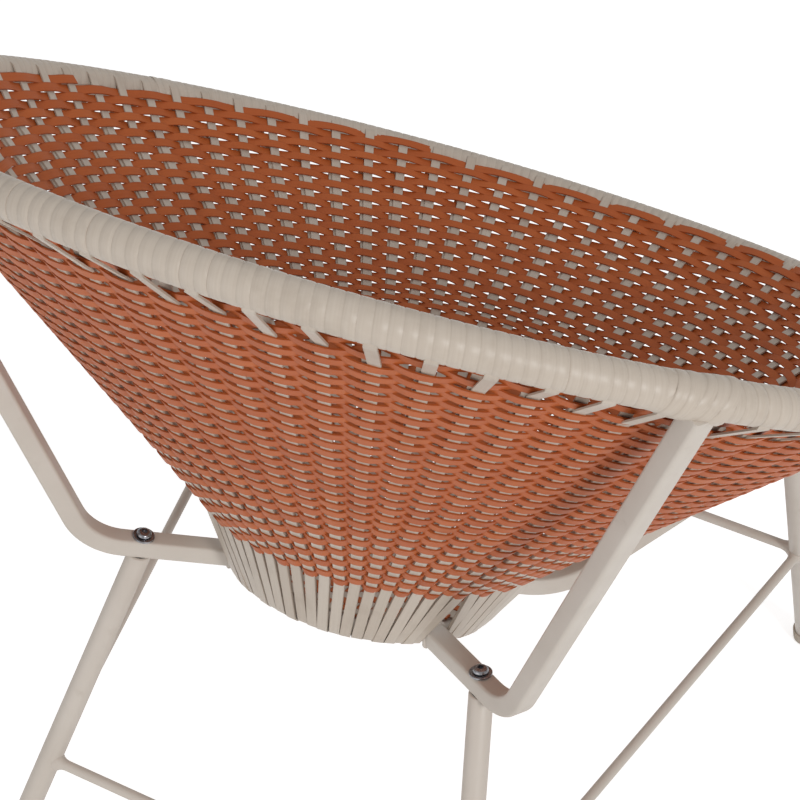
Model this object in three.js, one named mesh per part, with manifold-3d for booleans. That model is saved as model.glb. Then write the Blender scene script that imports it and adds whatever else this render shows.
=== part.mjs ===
// Round woven lounge chair: a conical seat of flat plastic strap hung between a big tilted hoop and a small
// base ring, carried by four bent square arms, on four splayed tube legs tied together by four thin rods.
// Millimetres, +Z up, the sitter looks along -Y. The origin lies on the floor, midway along both sides of
// the chair's outline seen from above.
import * as THREE from 'three';
import { mergeVertices } from 'three/addons/utils/BufferGeometryUtils.js';
import Module from 'manifold-3d';

const wasm = await Module();
wasm.setup();

// Hoop: the round tube that carries the upper ends of the strap, its plane tilted towards the front
const HOOP_RADIUS = 375;
const HOOP_TUBE_RADIUS = 8;
const HOOP_TUBE_WALL = 1.5;
const HOOP_TILT = THREE.MathUtils.degToRad(33.2);
const HOOP_RISE = 266;
const HOOP_FORWARD = 82.8;
const HOOP_STEPS = 64;
const HOOP_SIDES = 10;
const HOOP_BORE_SIDES = 6;
const HOOP_VENT_RADIUS = 1.5;

// Base ring: the round rod that the strap turns round at the bottom of the seat
const RING_HEIGHT = 325;
const RING_RADIUS = 94.4;
const RING_ROD_RADIUS = 6;
const RING_TILT = THREE.MathUtils.degToRad(25);
const RING_STEPS = 40;
const RING_SIDES = 8;
const RING_LAP_STEPS = 4;

// Strap and woven wall
const STRAP_THICKNESS = 1.6;
const WRAP_RADIUS = 11.5;
const JOINT_WRAP_RADIUS = 13.5;
const JOINT_WRAP_LENGTH = 46;
const WALL_THICKNESS = 4;
const WALL_TOP_INSET = 13;
const WALL_TOP_DROP = 7;
const WALL_FOOT_RADIUS = 129.5;
const WALL_FOOT_RISE = 49;
const WALL_STEPS = 84;
const WEAVE_ROWS = 12;
const WEAVE_HIGH = 2.5;
const WEAVE_LOW = 0.5;
const BOTTOM_THICKNESS = 3.2;
const BOTTOM_OVERHANG = 2.6;
const STRAP_TURN_UP = 4;

// Arms: square tube, a short bar in the plane of the base ring and a riser up to the hoop
const ARM_SIZE = 15;
const ARM_CORNER = 2.5;
const ARM_WALL = 1.5;
const ARM_ANGLE = THREE.MathUtils.degToRad(35.5);
const BACK_BAR_REACH = 203.6;
const FRONT_BAR_REACH = 151.6;
const BACK_BEND_RADIUS = 45;
const FRONT_BEND_RADIUS = 60;
const BACK_HOOP_ANGLE = THREE.MathUtils.degToRad(44.4);
const FRONT_HOOP_ANGLE = THREE.MathUtils.degToRad(-32.9);
const ARM_TOP_OUT = 4.8;
const ARM_TOP_DROP = 5.2;
const BEND_STEPS = 6;
const CORNER_POINTS = 2;

// Legs: round tube, back ones bolted under the bars and front ones under the risers
const LEG_RADIUS = 8.6;
const LEG_WALL = 1.6;
const LEG_SIDES = 16;
const BACK_BOLT_INSET = 39;
const FRONT_BOLT_RISER_SHARE = 0.631;
const INSERT_LENGTH = 18;

// Stretchers: thin rods that meet the legs at one height
const STRETCHER_HEIGHT = 200.5;
const STRETCHER_RADIUS = 4;
const STRETCHER_SIDES = 10;
const FLARE_RADIUS = 6;
const FLARE_LENGTH = 7;
const BACK_JOINT_SIDE = 171.2;
const BACK_JOINT_BACK = 179.9;
const FRONT_JOINT_SIDE = 255.7;
const FRONT_JOINT_FORWARD = 275.9;

// Feet
const FOOT_RADIUS = 10.6;
const FOOT_BASE = 3;
const FOOT_SLEEVE = 18;

// Fasteners
const BOLT_RADIUS = 3;
const BOLT_HEAD_RADIUS = 5.5;
const BOLT_HEAD_HEIGHT = 3.3;
const BOLT_SOCKET_RADIUS = 2.3;
const BOLT_SOCKET_DEPTH = 1.8;
const BACK_BOLT_GRIP = 12;
const FRONT_BOLT_GRIP = 8;
const WASHER_RADIUS = 8;
const WASHER_THICKNESS = 1.6;
const WASHER_HOLE = 3.4;
const FASTENER_SIDES = 16;
const HOLE_SIDES = 10;
const HEX_SIDES = 6;

// Clearances
const GAP = 0.3;
const SLEEVE_GAP = 0.4;
const BOLT_GAP = 0.4;
const OVERRUN = 30;
const NOTCH_SLACK = 3;
const NOTCH_MARGIN = 6;
const NOTCH_HALF_WIDTH = ARM_SIZE / 2 + NOTCH_SLACK;
const NOTCH_APEX = WALL_FOOT_RISE - NOTCH_MARGIN;

// The two tilted planes, of the base ring and of the hoop
const X_AXIS = new THREE.Vector3(1, 0, 0);
const Z_AXIS = new THREE.Vector3(0, 0, 1);
const ringBack = new THREE.Vector3(0, Math.cos(RING_TILT), Math.sin(RING_TILT));
const ringUp = new THREE.Vector3(0, -Math.sin(RING_TILT), Math.cos(RING_TILT));
const hoopBack = new THREE.Vector3(0, Math.cos(HOOP_TILT), Math.sin(HOOP_TILT));
const hoopUp = new THREE.Vector3(0, -Math.sin(HOOP_TILT), Math.cos(HOOP_TILT));
const ringCentre = new THREE.Vector3(0, 0, RING_HEIGHT);
const hoopCentre = new THREE.Vector3(0, -HOOP_FORWARD, RING_HEIGHT + HOOP_RISE);

function along(origin, ...parts) {
  const point = origin.clone();
  for (const [direction, length] of parts) point.addScaledVector(direction, length);
  return point;
}

function toward(from, to) {
  return to.clone().sub(from).normalize();
}

function onRing(angle, radius, rise) {
  const out = along(new THREE.Vector3(), [X_AXIS, Math.cos(angle)], [ringBack, Math.sin(angle)]);
  return along(ringCentre, [out, radius], [ringUp, rise]);
}

function onHoop(angle, radius, rise) {
  const out = along(new THREE.Vector3(), [X_AXIS, Math.cos(angle)], [hoopBack, Math.sin(angle)]);
  return along(hoopCentre, [out, radius], [hoopUp, rise]);
}

// Solids: a list of equal rings of points becomes one closed body
function flipIfInsideOut(positions, triangles) {
  let volume = 0;
  const corner = [new THREE.Vector3(), new THREE.Vector3(), new THREE.Vector3()];
  for (const triangle of triangles) {
    triangle.forEach((index, k) => corner[k].copy(positions[index]));
    volume += corner[0].dot(corner[1].cross(corner[2]));
  }
  return volume < 0 ? triangles.map(([a, b, c]) => [a, c, b]) : triangles;
}

function toGeometry(positions, triangles) {
  const geometry = new THREE.BufferGeometry();
  const flat = positions.flatMap((point) => [point.x, point.y, point.z]);
  geometry.setAttribute('position', new THREE.Float32BufferAttribute(flat, 3));
  geometry.setIndex(flipIfInsideOut(positions, triangles).flat());
  return geometry;
}

// Rings are joined one to the next. A closed loop of rings has no ends; otherwise each end is a fan or,
// with inner rings, a flat annulus.
function skin(outerRings, innerRings = null, closed = false) {
  const sides = outerRings[0].length;
  const positions = [...outerRings.flat(), ...(innerRings ? innerRings.flat() : [])];
  const innerStart = outerRings.length * sides;
  const triangles = [];
  const wall = (start, reversed) => {
    const last = closed ? outerRings.length : outerRings.length - 1;
    for (let i = 0; i < last; i += 1) {
      const here = start + i * sides;
      const next = start + ((i + 1) % outerRings.length) * sides;
      for (let j = 0; j < sides; j += 1) {
        const k = (j + 1) % sides;
        const quad = [[here + j, next + j, next + k], [here + j, next + k, here + k]];
        triangles.push(...(reversed ? quad.map(([a, b, c]) => [a, c, b]) : quad));
      }
    }
  };
  wall(0, false);
  if (innerRings) wall(innerStart, true);
  if (closed) return toGeometry(positions, triangles);
  for (const end of [0, outerRings.length - 1]) {
    const first = end === 0;
    if (innerRings) {
      for (let j = 0; j < sides; j += 1) {
        const k = (j + 1) % sides;
        const [a, b] = [end * sides + j, end * sides + k];
        const [c, d] = [innerStart + a, innerStart + b];
        const quad = [[a, b, d], [a, d, c]];
        triangles.push(...(first ? quad : quad.map(([p, q, r]) => [p, r, q])));
      }
    } else {
      const centre = outerRings[end].reduce((sum, point) => sum.add(point), new THREE.Vector3());
      positions.push(centre.divideScalar(sides));
      for (let j = 0; j < sides; j += 1) {
        const triangle = [end * sides + j, end * sides + ((j + 1) % sides), positions.length - 1];
        triangles.push(first ? triangle : [triangle[0], triangle[2], triangle[1]]);
      }
    }
  }
  return toGeometry(positions, triangles);
}

function roundSection(radius, sides) {
  return Array.from({ length: sides }, (_, i) => {
    const angle = (2 * Math.PI * i) / sides;
    return [radius * Math.cos(angle), radius * Math.sin(angle)];
  });
}

function squareSection(size, corner) {
  const points = [];
  const middle = size / 2 - corner;
  for (let quarter = 0; quarter < 4; quarter += 1) {
    for (let step = 0; step < CORNER_POINTS; step += 1) {
      const angle = (Math.PI / 2) * (quarter + step / (CORNER_POINTS - 1));
      const spin = (Math.PI / 2) * (quarter + 1 / 2);
      const side = Math.sign(Math.cos(spin)) * middle;
      const up = Math.sign(Math.sin(spin)) * middle;
      points.push([side + corner * Math.cos(angle), up + corner * Math.sin(angle)]);
    }
  }
  return points;
}

function ringOf(frame, section, scale = 1) {
  return section.map(([u, v]) => along(frame.at, [frame.side, u * scale], [frame.up, v * scale]));
}

// A round bar between two points whose ends lie in given planes; radii may differ along it
function bar(from, to, radius, sides, ends = {}) {
  const axis = toward(from, to);
  const across = Math.abs(axis.z) > Math.abs(axis.x) ? X_AXIS : Z_AXIS;
  const side = new THREE.Vector3().crossVectors(axis, across);
  side.normalize();
  const up = new THREE.Vector3().crossVectors(axis, side);
  const slide = (ring, plane) => {
    if (!plane) return ring;
    return ring.map((point) => {
      const shift = plane.at.clone().sub(point).dot(plane.normal) / axis.dot(plane.normal);
      return along(point, [axis, shift]);
    });
  };
  const section = roundSection(radius, sides);
  const rings = [slide(ringOf({ at: from, side, up }, section), ends.from)];
  for (const { at, scale } of ends.between ?? []) rings.push(ringOf({ at, side, up }, section, scale));
  rings.push(slide(ringOf({ at: to, side, up }, section), ends.to));
  return skin(rings);
}

function solid(geometry) {
  const bare = geometry.clone();
  bare.deleteAttribute('normal');
  bare.deleteAttribute('uv');
  const merged = mergeVertices(bare);
  return new wasm.Manifold(new wasm.Mesh({
    numProp: 3,
    vertProperties: new Float32Array(merged.attributes.position.array),
    triVerts: new Uint32Array(merged.index.array),
  }));
}

function fromSolid(body) {
  const mesh = body.getMesh();
  const geometry = new THREE.BufferGeometry();
  geometry.setAttribute('position', new THREE.Float32BufferAttribute(mesh.vertProperties, mesh.numProp));
  geometry.setIndex(Array.from(mesh.triVerts));
  return geometry;
}

function cut(geometry, ...tools) {
  return fromSolid(tools.reduce((body, tool) => body.subtract(solid(tool)), solid(geometry)));
}

// Turns a shape made about its own Z axis so that Z points along a direction at a place
function stand(geometry, at, direction) {
  const turn = new THREE.Quaternion().setFromUnitVectors(Z_AXIS, direction);
  return geometry.applyQuaternion(turn).translate(at.x, at.y, at.z);
}

function turned(profile, sides) {
  const geometry = new THREE.LatheGeometry(profile.map(([r, z]) => new THREE.Vector2(r, z)), sides);
  geometry.rotateX(Math.PI / 2);
  const merged = geometry.clone();
  merged.deleteAttribute('normal');
  merged.deleteAttribute('uv');
  const tidy = mergeVertices(merged);
  const points = [];
  const place = tidy.attributes.position;
  for (let i = 0; i < place.count; i += 1) points.push(new THREE.Vector3().fromBufferAttribute(place, i));
  const triangles = [];
  const index = tidy.index.array;
  for (let i = 0; i < index.length; i += 3) {
    const corners = [index[i], index[i + 1], index[i + 2]];
    if (new Set(corners).size === 3) triangles.push(corners);
  }
  return toGeometry(points, triangles);
}

// Arms
function makeArm(across, back) {
  const sign = back ? 1 : -1;
  const reach = back ? BACK_BAR_REACH : FRONT_BAR_REACH;
  const bendRadius = back ? BACK_BEND_RADIUS : FRONT_BEND_RADIUS;
  const hoopAngle = back ? BACK_HOOP_ANGLE : FRONT_HOOP_ANGLE;
  const mirror = (point) => new THREE.Vector3(across * point.x, point.y, point.z);
  const barAngle = sign * ARM_ANGLE;
  const corner = mirror(onRing(barAngle, reach, 0));
  const top = mirror(onHoop(hoopAngle, HOOP_RADIUS + ARM_TOP_OUT, -ARM_TOP_DROP));
  const weld = mirror(onHoop(hoopAngle, HOOP_RADIUS, 0));
  const start = mirror(onRing(barAngle, RING_RADIUS + RING_ROD_RADIUS + GAP, 0));
  const barWay = toward(start, corner);
  const riserWay = toward(corner, top);
  const side = new THREE.Vector3().crossVectors(barWay, riserWay).normalize();
  const barUp = new THREE.Vector3().crossVectors(side, barWay);
  const turn = barWay.angleTo(riserWay);
  const setback = bendRadius * Math.tan(turn / 2);
  const bendStart = along(corner, [barWay, -setback]);
  const hub = along(bendStart, [barUp, bendRadius]);
  const frames = [{ at: start, side, up: barUp }];
  for (let i = 0; i <= BEND_STEPS; i += 1) {
    const angle = (turn * i) / BEND_STEPS;
    const up = along(new THREE.Vector3(), [barUp, Math.cos(angle)], [barWay, -Math.sin(angle)]);
    frames.push({ at: along(hub, [up, -bendRadius]), side, up });
  }
  const riserUp = frames[frames.length - 1].up;
  frames.push({ at: top, side, up: riserUp });
  const seat = back ? mirror(onRing(barAngle, BACK_BAR_REACH - BACK_BOLT_INSET, 0))
    : corner.clone().lerp(top, FRONT_BOLT_RISER_SHARE);
  const boltUp = back ? barUp : riserUp;
  return { frames, start, top, weld, side, riserUp, barWay, riserWay, seat, boltUp, mirror, hoopAngle };
}

function armGeometry(arm) {
  const outer = squareSection(ARM_SIZE, ARM_CORNER);
  const inner = squareSection(ARM_SIZE - 2 * ARM_WALL, ARM_CORNER - ARM_WALL);
  const tube = skin(arm.frames.map((f) => ringOf(f, outer)), arm.frames.map((f) => ringOf(f, inner)));
  const tangent = hoopTangent(arm);
  const hoopCut = bar(along(arm.weld, [tangent, -OVERRUN]), along(arm.weld, [tangent, OVERRUN]),
    (HOOP_TUBE_RADIUS + GAP) / Math.cos(Math.PI / HOOP_SIDES), HOOP_SIDES + HOOP_BORE_SIDES);
  return cut(tube, hoopCut, boltPath(arm));
}

function hoopTangent(arm) {
  const angle = arm.hoopAngle;
  const way = along(new THREE.Vector3(), [X_AXIS, -Math.sin(angle)], [hoopBack, Math.cos(angle)]);
  return arm.mirror(way).normalize();
}

// Legs: the top is cut along the underside of the arm, the bottom level above the floor
function makeLeg(arm, across, back) {
  const under = along(arm.seat, [arm.boltUp, -(ARM_SIZE / 2 + GAP)]);
  const joint = new THREE.Vector3(across * (back ? BACK_JOINT_SIDE : FRONT_JOINT_SIDE),
    back ? BACK_JOINT_BACK : -FRONT_JOINT_FORWARD, STRETCHER_HEIGHT);
  const way = toward(under, joint);
  const floorPoint = along(joint, [way, -joint.z / way.z]);
  const end = along(joint, [way, (FOOT_BASE + GAP - joint.z) / way.z]);
  return { under, joint, way, floorPoint, end, topPlane: { at: under, normal: arm.boltUp } };
}

function legGeometry(leg, arm) {
  const endPlane = { at: leg.end, normal: Z_AXIS };
  const outer = bar(leg.under, leg.end, LEG_RADIUS, LEG_SIDES, { from: leg.topPlane, to: endPlane });
  const bore = bar(along(leg.under, [leg.way, -OVERRUN]), along(leg.end, [leg.way, OVERRUN]),
    LEG_RADIUS - LEG_WALL, LEG_SIDES);
  return cut(outer, bore, boltPath(arm));
}

function boltPath(arm) {
  const path = new THREE.CylinderGeometry(BOLT_RADIUS + BOLT_GAP, BOLT_RADIUS + BOLT_GAP,
    2 * (ARM_SIZE + INSERT_LENGTH), HOLE_SIDES);
  return stand(path.rotateX(Math.PI / 2), arm.seat, arm.boltUp);
}

function insertGeometry(leg, arm) {
  const end = along(leg.under, [leg.way, INSERT_LENGTH]);
  const plug = bar(leg.under, end, LEG_RADIUS - LEG_WALL - GAP, LEG_SIDES, { from: leg.topPlane });
  return cut(plug, boltPath(arm));
}

function footGeometry(leg) {
  const floorPlane = { at: leg.floorPoint, normal: Z_AXIS };
  const top = along(leg.end, [leg.way, -FOOT_SLEEVE]);
  const cup = bar(top, leg.floorPoint, FOOT_RADIUS, LEG_SIDES, { to: floorPlane });
  const seatPlane = { at: along(leg.floorPoint, [leg.way, -FOOT_BASE / -leg.way.z]), normal: Z_AXIS };
  const room = bar(along(top, [leg.way, -OVERRUN]), seatPlane.at, LEG_RADIUS + GAP, LEG_SIDES,
    { to: seatPlane });
  return cut(cup, room);
}

// Stretchers: rods between leg axes, coped to the legs, a little wider where they are welded on
function stretcherGeometry(legA, legB) {
  const way = toward(legA.joint, legB.joint);
  const wide = FLARE_RADIUS / STRETCHER_RADIUS;
  const flareEnd = LEG_RADIUS + FLARE_LENGTH;
  const between = [
    { at: along(legA.joint, [way, LEG_RADIUS]), scale: wide },
    { at: along(legA.joint, [way, flareEnd]), scale: 1 },
    { at: along(legB.joint, [way, -flareEnd]), scale: 1 },
    { at: along(legB.joint, [way, -LEG_RADIUS]), scale: wide },
  ];
  const rod = bar(legA.joint, legB.joint, STRETCHER_RADIUS, STRETCHER_SIDES, { between });
  const room = (leg) => bar(along(leg.joint, [leg.way, -OVERRUN]), along(leg.joint, [leg.way, OVERRUN]),
    LEG_RADIUS + GAP, LEG_SIDES);
  return cut(rod, room(legA), room(legB));
}

// Fasteners
function boltGeometry(arm, grip) {
  const under = ARM_SIZE / 2 + WASHER_THICKNESS + 2 * GAP;
  const crown = BOLT_HEAD_RADIUS * Math.SQRT1_2;
  const profile = [
    [0, -(ARM_SIZE / 2 + grip)], [BOLT_RADIUS, -(ARM_SIZE / 2 + grip)], [BOLT_RADIUS, under],
    [BOLT_HEAD_RADIUS, under], [BOLT_HEAD_RADIUS, under + BOLT_HEAD_HEIGHT / 4],
    [crown, under + BOLT_HEAD_HEIGHT * Math.SQRT1_2], [crown / 2, under + BOLT_HEAD_HEIGHT],
    [0, under + BOLT_HEAD_HEIGHT],
  ];
  const socket = new THREE.CylinderGeometry(BOLT_SOCKET_RADIUS, BOLT_SOCKET_RADIUS, 2 * BOLT_SOCKET_DEPTH,
    HEX_SIDES);
  socket.rotateX(Math.PI / 2).translate(0, 0, under + BOLT_HEAD_HEIGHT);
  return stand(cut(turned(profile, FASTENER_SIDES), socket), arm.seat, arm.boltUp);
}

function washerGeometry(arm) {
  const low = ARM_SIZE / 2 + GAP;
  const high = low + WASHER_THICKNESS;
  const profile = [[WASHER_HOLE, low], [WASHER_RADIUS, low], [WASHER_RADIUS, high], [WASHER_HOLE, high],
    [WASHER_HOLE, low]];
  return stand(turned(profile, FASTENER_SIDES), arm.seat, arm.boltUp);
}

// Hoop, its wrapping and the woven wall
function hoopFrame(angle) {
  const out = along(new THREE.Vector3(), [X_AXIS, Math.cos(angle)], [hoopBack, Math.sin(angle)]);
  return { at: onHoop(angle, HOOP_RADIUS, 0), side: out, up: hoopUp };
}

// Between two steps of the hoop its sides run straight, and what fits round it runs straight with them
function hoopRing(step, section) {
  const low = Math.floor(step);
  const share = step - low;
  const before = ringOf(hoopFrame((2 * Math.PI * low) / HOOP_STEPS), section);
  const after = ringOf(hoopFrame((2 * Math.PI * (low + 1)) / HOOP_STEPS), section);
  return before.map((point, i) => point.lerp(after[i], share));
}

function hoopGeometry() {
  const steps = Array.from({ length: HOOP_STEPS }, (_, i) => i);
  const outer = roundSection(HOOP_TUBE_RADIUS, HOOP_SIDES);
  const inner = roundSection(HOOP_TUBE_RADIUS - HOOP_TUBE_WALL, HOOP_BORE_SIDES);
  const full = skin(steps.map((step) => hoopRing(step, outer)), null, true);
  const bore = skin(steps.map((step) => hoopRing(step, inner)), null, true);
  const vent = stand(new THREE.CylinderGeometry(HOOP_VENT_RADIUS, HOOP_VENT_RADIUS, 2 * HOOP_TUBE_RADIUS,
    HEX_SIDES).rotateX(Math.PI / 2), onHoop(Math.PI / 2, HOOP_RADIUS, -HOOP_TUBE_RADIUS), hoopUp);
  return cut(full, bore, vent);
}

function sleeve(fromAngle, toAngle, radius) {
  const from = (fromAngle * HOOP_STEPS) / (2 * Math.PI);
  const to = (toAngle * HOOP_STEPS) / (2 * Math.PI);
  const steps = [from];
  for (let step = Math.floor(from) + 1; step < to; step += 1) steps.push(step);
  steps.push(to);
  const outer = roundSection(radius, HOOP_SIDES);
  const inner = roundSection(HOOP_TUBE_RADIUS + SLEEVE_GAP, HOOP_SIDES);
  return skin(steps.map((step) => hoopRing(step, outer)), steps.map((step) => hoopRing(step, inner)));
}

function armRoom(arm) {
  const room = squareSection(ARM_SIZE + 2 * GAP, ARM_CORNER + GAP);
  const low = along(arm.top, [arm.riserWay, -OVERRUN]);
  const frame = { side: arm.side, up: arm.riserUp };
  const high = along(arm.top, [arm.riserWay, GAP]);
  return skin([ringOf({ ...frame, at: low }, room), ringOf({ ...frame, at: high }, room)]);
}

// The wall steps out and in like a chequerboard, a coarse stand-in for the straps that pass over and under
function wallGeometry() {
  const half = WALL_THICKNESS / 2;
  const sections = Array.from({ length: WALL_STEPS }, (_, i) => {
    const angle = (2 * Math.PI * i) / WALL_STEPS;
    const top = onHoop(angle, HOOP_RADIUS - WALL_TOP_INSET, -WALL_TOP_DROP);
    const foot = onRing(angle, WALL_FOOT_RADIUS, WALL_FOOT_RISE);
    const way = toward(foot, top);
    const round = along(new THREE.Vector3(), [X_AXIS, -Math.sin(angle)], [ringBack, Math.cos(angle)]);
    const out = new THREE.Vector3().crossVectors(round, way).normalize();
    const level = (point) => {
      const short = GAP - point.clone().sub(foot).dot(ringUp);
      return along(point, [way, short / way.dot(ringUp)]);
    };
    const outside = [level(along(foot, [out, half]))];
    const inside = [level(along(foot, [out, -half]))];
    for (let row = 1; row < WEAVE_ROWS; row += 1) {
      const middle = foot.clone().lerp(top, row / WEAVE_ROWS);
      const [near, far] = (i + row) % 2 ? [WEAVE_LOW, WEAVE_HIGH] : [WEAVE_HIGH, WEAVE_LOW];
      outside.push(along(middle, [out, near]));
      inside.push(along(middle, [out, -far]));
    }
    outside.push(along(top, [out, half]));
    inside.push(along(top, [out, -half]));
    return [...outside, ...inside.reverse()];
  });
  return skin(sections, null, true);
}

function skirtGeometry(arms) {
  const half = STRAP_THICKNESS / 2;
  const lap = RING_ROD_RADIUS + GAP + STRAP_THICKNESS;
  const hug = RING_ROD_RADIUS + GAP;
  const bend = (radius) => Array.from({ length: RING_LAP_STEPS - 1 }, (_, i) => {
    const angle = (-Math.PI * (i + 1)) / RING_LAP_STEPS;
    return [RING_RADIUS + radius * Math.cos(angle), radius * Math.sin(angle)];
  });
  const profile = [
    [WALL_FOOT_RADIUS + half, WALL_FOOT_RISE], [RING_RADIUS + lap, 0], ...bend(lap), [RING_RADIUS - lap, 0],
    [RING_RADIUS - lap, STRAP_TURN_UP], [RING_RADIUS - hug, STRAP_TURN_UP], [RING_RADIUS - hug, 0],
    ...bend(hug).reverse(), [RING_RADIUS + hug, 0], [WALL_FOOT_RADIUS - half, WALL_FOOT_RISE],
    [WALL_FOOT_RADIUS + half, WALL_FOOT_RISE],
  ];
  const skirt = stand(turned(profile, RING_STEPS), ringCentre, ringUp);
  return cut(skirt, ...arms.map(notchGeometry));
}

// The strap parts over each bar: an opening as wide as the bar below, closing to a point near the wall
function notchGeometry(arm) {
  const way = arm.barWay;
  const side = new THREE.Vector3().crossVectors(ringUp, way).normalize();
  const outline = [[-NOTCH_HALF_WIDTH, -NOTCH_HALF_WIDTH], [NOTCH_HALF_WIDTH, -NOTCH_HALF_WIDTH],
    [NOTCH_HALF_WIDTH, ARM_SIZE / 2], [0, NOTCH_APEX], [-NOTCH_HALF_WIDTH, ARM_SIZE / 2]];
  const ends = [along(arm.start, [way, -GAP]), along(arm.start, [way, 2 * OVERRUN])];
  return skin(ends.map((at) => ringOf({ at, side, up: ringUp }, outline)));
}

function bottomGeometry() {
  const low = RING_ROD_RADIUS + 2 * GAP;
  const high = low + BOTTOM_THICKNESS;
  const edge = RING_RADIUS + BOTTOM_OVERHANG;
  const profile = [[0, low], [edge, low], [edge, high], [0, high]];
  return stand(turned(profile, RING_STEPS), ringCentre, ringUp);
}

function ringGeometry() {
  const rod = new THREE.TorusGeometry(RING_RADIUS, RING_ROD_RADIUS, RING_SIDES, RING_STEPS);
  return stand(rod, ringCentre, ringUp);
}

// Materials
const paint = { color: 0xc3b6a8, roughness: 0.5, metalness: 0 };
const beige = { color: 0xc3b6a8, roughness: 0.55, metalness: 0 };
const terracotta = { color: 0xb4694b, roughness: 0.55, metalness: 0 };
const steel = { color: 0xb5b5b8, roughness: 0.25, metalness: 1 };
const nylon = { color: 0xb9ad9f, roughness: 0.7, metalness: 0 };

const chair = new THREE.Group();
function add(name, geometry, look) {
  const mesh = new THREE.Mesh(geometry, new THREE.MeshStandardMaterial(look));
  mesh.name = name;
  chair.add(mesh);
}

const corners = [
  { name: 'back_left', across: 1, back: true },
  { name: 'back_right', across: -1, back: true },
  { name: 'front_left', across: 1, back: false },
  { name: 'front_right', across: -1, back: false },
];
for (const corner of corners) {
  corner.arm = makeArm(corner.across, corner.back);
  corner.leg = makeLeg(corner.arm, corner.across, corner.back);
}
const [backLeft, backRight, frontLeft, frontRight] = corners;

add('hoop', hoopGeometry(), paint);
add('base_ring', ringGeometry(), paint);
for (const { name, arm, leg, back } of corners) {
  add(`arm_${name}`, armGeometry(arm), paint);
  add(`leg_${name}`, legGeometry(leg, arm), paint);
  add(`insert_${name}`, insertGeometry(leg, arm), steel);
  add(`bolt_${name}`, boltGeometry(arm, back ? BACK_BOLT_GRIP : FRONT_BOLT_GRIP), steel);
  add(`washer_${name}`, washerGeometry(arm), steel);
  add(`foot_${name}`, footGeometry(leg), nylon);
}
add('stretcher_back', stretcherGeometry(backLeft.leg, backRight.leg), paint);
add('stretcher_front', stretcherGeometry(frontLeft.leg, frontRight.leg), paint);
add('stretcher_left', stretcherGeometry(backLeft.leg, frontLeft.leg), paint);
add('stretcher_right', stretcherGeometry(backRight.leg, frontRight.leg), paint);

// The wrapping lies in eight lengths round the hoop: one over each arm joint and one between each pair
const halfJoint = JOINT_WRAP_LENGTH / 2 / HOOP_RADIUS;
const seam = GAP / HOOP_RADIUS;
const turnAngle = {
  back_left: BACK_HOOP_ANGLE,
  back_right: Math.PI - BACK_HOOP_ANGLE,
  front_right: Math.PI - FRONT_HOOP_ANGLE,
  front_left: 2 * Math.PI + FRONT_HOOP_ANGLE,
};
for (const { name, arm } of corners) {
  const joint = sleeve(turnAngle[name] - halfJoint, turnAngle[name] + halfJoint, JOINT_WRAP_RADIUS);
  add(`joint_wrap_${name}`, cut(joint, armRoom(arm)), beige);
}
const lengths = [
  ['back', turnAngle.back_left, turnAngle.back_right],
  ['right', turnAngle.back_right, turnAngle.front_right],
  ['front', turnAngle.front_right, turnAngle.front_left],
  ['left', turnAngle.front_left, 2 * Math.PI + turnAngle.back_left],
];
for (const [name, from, to] of lengths) {
  add(`hoop_wrap_${name}`, sleeve(from + halfJoint + seam, to - halfJoint - seam, WRAP_RADIUS), beige);
}

add('woven_wall', wallGeometry(), terracotta);
add('strap_skirt', skirtGeometry(corners.map(({ arm }) => arm)), beige);
add('woven_bottom', bottomGeometry(), terracotta);

// The finished chair is slid so that the origin is midway between its foremost and rearmost points
const reach = new THREE.Box3().setFromObject(chair);
chair.position.y = -(reach.min.y + reach.max.y) / 2;
chair.updateMatrixWorld(true);

export default chair;
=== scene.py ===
import random
from collections import namedtuple
from functools import lru_cache
from math import acos, atan2, cos, floor, hypot, pi, radians, sin, sqrt, tan, tanh

import bmesh
import bpy
from mathutils import Matrix, Vector


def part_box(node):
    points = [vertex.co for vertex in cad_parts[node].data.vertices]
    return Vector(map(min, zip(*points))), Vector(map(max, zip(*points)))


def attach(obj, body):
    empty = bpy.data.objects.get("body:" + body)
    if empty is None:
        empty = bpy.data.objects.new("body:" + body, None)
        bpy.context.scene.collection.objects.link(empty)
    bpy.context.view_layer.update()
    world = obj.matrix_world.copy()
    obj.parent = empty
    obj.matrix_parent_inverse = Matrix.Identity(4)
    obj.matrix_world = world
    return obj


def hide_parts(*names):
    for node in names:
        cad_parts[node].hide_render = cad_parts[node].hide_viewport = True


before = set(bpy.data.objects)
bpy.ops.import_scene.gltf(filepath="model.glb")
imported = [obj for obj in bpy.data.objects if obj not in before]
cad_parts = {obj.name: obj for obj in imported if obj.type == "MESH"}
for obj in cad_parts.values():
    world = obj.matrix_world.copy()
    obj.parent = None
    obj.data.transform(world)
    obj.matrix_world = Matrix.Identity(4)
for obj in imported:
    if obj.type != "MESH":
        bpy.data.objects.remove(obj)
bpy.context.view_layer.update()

scene = bpy.context.scene
MM = 0.001


def middle_of(node):
    low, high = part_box(node)
    return (Vector(low) + Vector(high)) / (2 * MM)


# The two tilted planes
X_AXIS = Vector((1, 0, 0))
Z_AXIS = Vector((0, 0, 1))
HOOP_TILT, RING_TILT = radians(33.2), radians(25)
HOOP_BACK = Vector((0, cos(HOOP_TILT), sin(HOOP_TILT)))
HOOP_UP = Vector((0, -sin(HOOP_TILT), cos(HOOP_TILT)))
RING_BACK = Vector((0, cos(RING_TILT), sin(RING_TILT)))
RING_UP = Vector((0, -sin(RING_TILT), cos(RING_TILT)))
HOOP_CENTRE, RING_CENTRE = middle_of("hoop"), middle_of("base_ring")
HOOP_RADIUS, RING_RADIUS, RING_ROD_RADIUS = 375, 94.4, 6

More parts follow.
